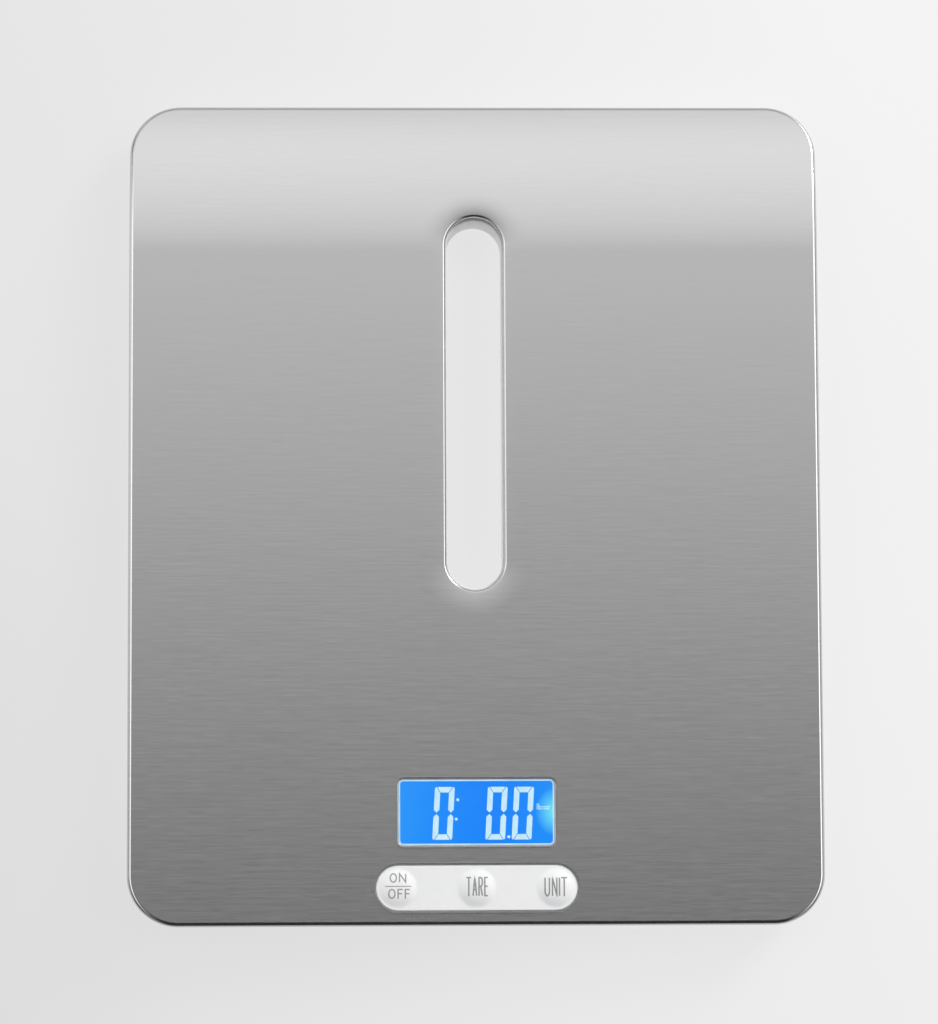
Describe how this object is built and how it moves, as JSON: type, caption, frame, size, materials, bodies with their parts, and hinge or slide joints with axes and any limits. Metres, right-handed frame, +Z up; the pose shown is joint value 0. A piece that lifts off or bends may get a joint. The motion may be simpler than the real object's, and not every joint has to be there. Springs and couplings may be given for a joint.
{
  "type": "kitchen scale",
  "caption": "Flat rectangular electronic kitchen scale with a brushed steel platform, a long through slot for hanging, a back-lit digital display and round keys at the near end.",
  "frame": {"origin": "centre of the overall footprint, on the surface the feet rest on", "axes": "+Z up, out of the platform; +Y away from the user, from the display end to the far end; +X to the right"},
  "size_m": [0.19, 0.2266, 0.0202],
  "materials": {
    "brushed_steel": "fine brush lines across the width",
    "tape": "foam bonding tape",
    "white_shell": "fine spark texture",
    "white_gloss": "smooth white",
    "plated_steel": "nickel plated",
    "clear_window": "clear acrylic",
    "display_glass": "back-lit blue",
    "light_guide": "milky light guide",
    "contact_rubber": "layered contact strip",
    "key_rubber": "satin white silicone",
    "circuit_board": "solder mask",
    "black_plastic": "moulded",
    "aluminium_can": "drawn can",
    "socket_plastic": "natural nylon",
    "battery_sleeve": "printed sleeve with metal ends",
    "lead_insulation": "soft insulation",
    "gauge_film": "film",
    "spring_steel": "stamped",
    "foot_rubber": "matt with fine grain"
  },
  "bodies": {
    "scale_body": {"top_cover": "brushed_steel", "cover_tape": "tape", "upper_housing": "white_shell", "lower_housing": "white_shell", "slot_liner": "white_gloss", "housing_screws": "plated_steel", "display_window": "clear_window", "lcd_panel": "display_glass", "backlight_panel": "light_guide", "lcd_connector": "contact_rubber", "lcd_frame": "white_shell", "keypad": "key_rubber", "key_switches": "plated_steel", "main_board": "circuit_board", "board_screws": "plated_steel", "controller_chip": "black_plastic", "converter_chip": "black_plastic", "board_capacitors": "aluminium_can", "cable_sockets": "socket_plastic", "battery_near": "battery_sleeve", "battery_far": "battery_sleeve", "battery_springs": "plated_steel", "battery_plates": "plated_steel", "battery_leads": "lead_insulation", "strain_gauges": "gauge_film", "load_cell_clamps": "white_shell", "clamp_screws": "plated_steel", "sensor_cables": "lead_insulation", "load_cell_front_left": "spring_steel", "foot_cap_front_left": "white_shell", "foot_pad_front_left": "foot_rubber", "load_cell_front_right": "spring_steel", "foot_cap_front_right": "white_shell", "foot_pad_front_right": "foot_rubber", "load_cell_rear_left": "spring_steel", "foot_cap_rear_left": "white_shell", "foot_pad_rear_left": "foot_rubber", "load_cell_rear_right": "spring_steel", "foot_cap_rear_right": "white_shell", "foot_pad_rear_right": "foot_rubber"},
    "on_off_button": {"on_off_key": "key_rubber", "on_off_plunger": "black_plastic"},
    "tare_button": {"tare_key": "key_rubber", "tare_plunger": "black_plastic"},
    "unit_button": {"unit_key": "key_rubber", "unit_plunger": "black_plastic"},
    "battery_hatch": {"battery_door": "white_shell"}
  },
  "joints": [
    {"name": "on_off_press", "type": "slide", "parent": "scale_body", "child": "on_off_button", "axis": [0, 0, -1], "range_m": [0, 0.0005], "stiffness_N_per_m": 2500, "springref_m": -0.0002},
    {"name": "tare_press", "type": "slide", "parent": "scale_body", "child": "tare_button", "axis": [0, 0, -1], "range_m": [0, 0.0005], "stiffness_N_per_m": 2500, "springref_m": -0.0002},
    {"name": "unit_press", "type": "slide", "parent": "scale_body", "child": "unit_button", "axis": [0, 0, -1], "range_m": [0, 0.0005], "stiffness_N_per_m": 2500, "springref_m": -0.0002},
    {"name": "battery_door_open", "type": "hinge", "parent": "scale_body", "child": "battery_hatch", "pos_m": [0, -0.03445, 0.0026], "axis": [1, 0, 0], "range_deg": [0, 100]}
  ]
}
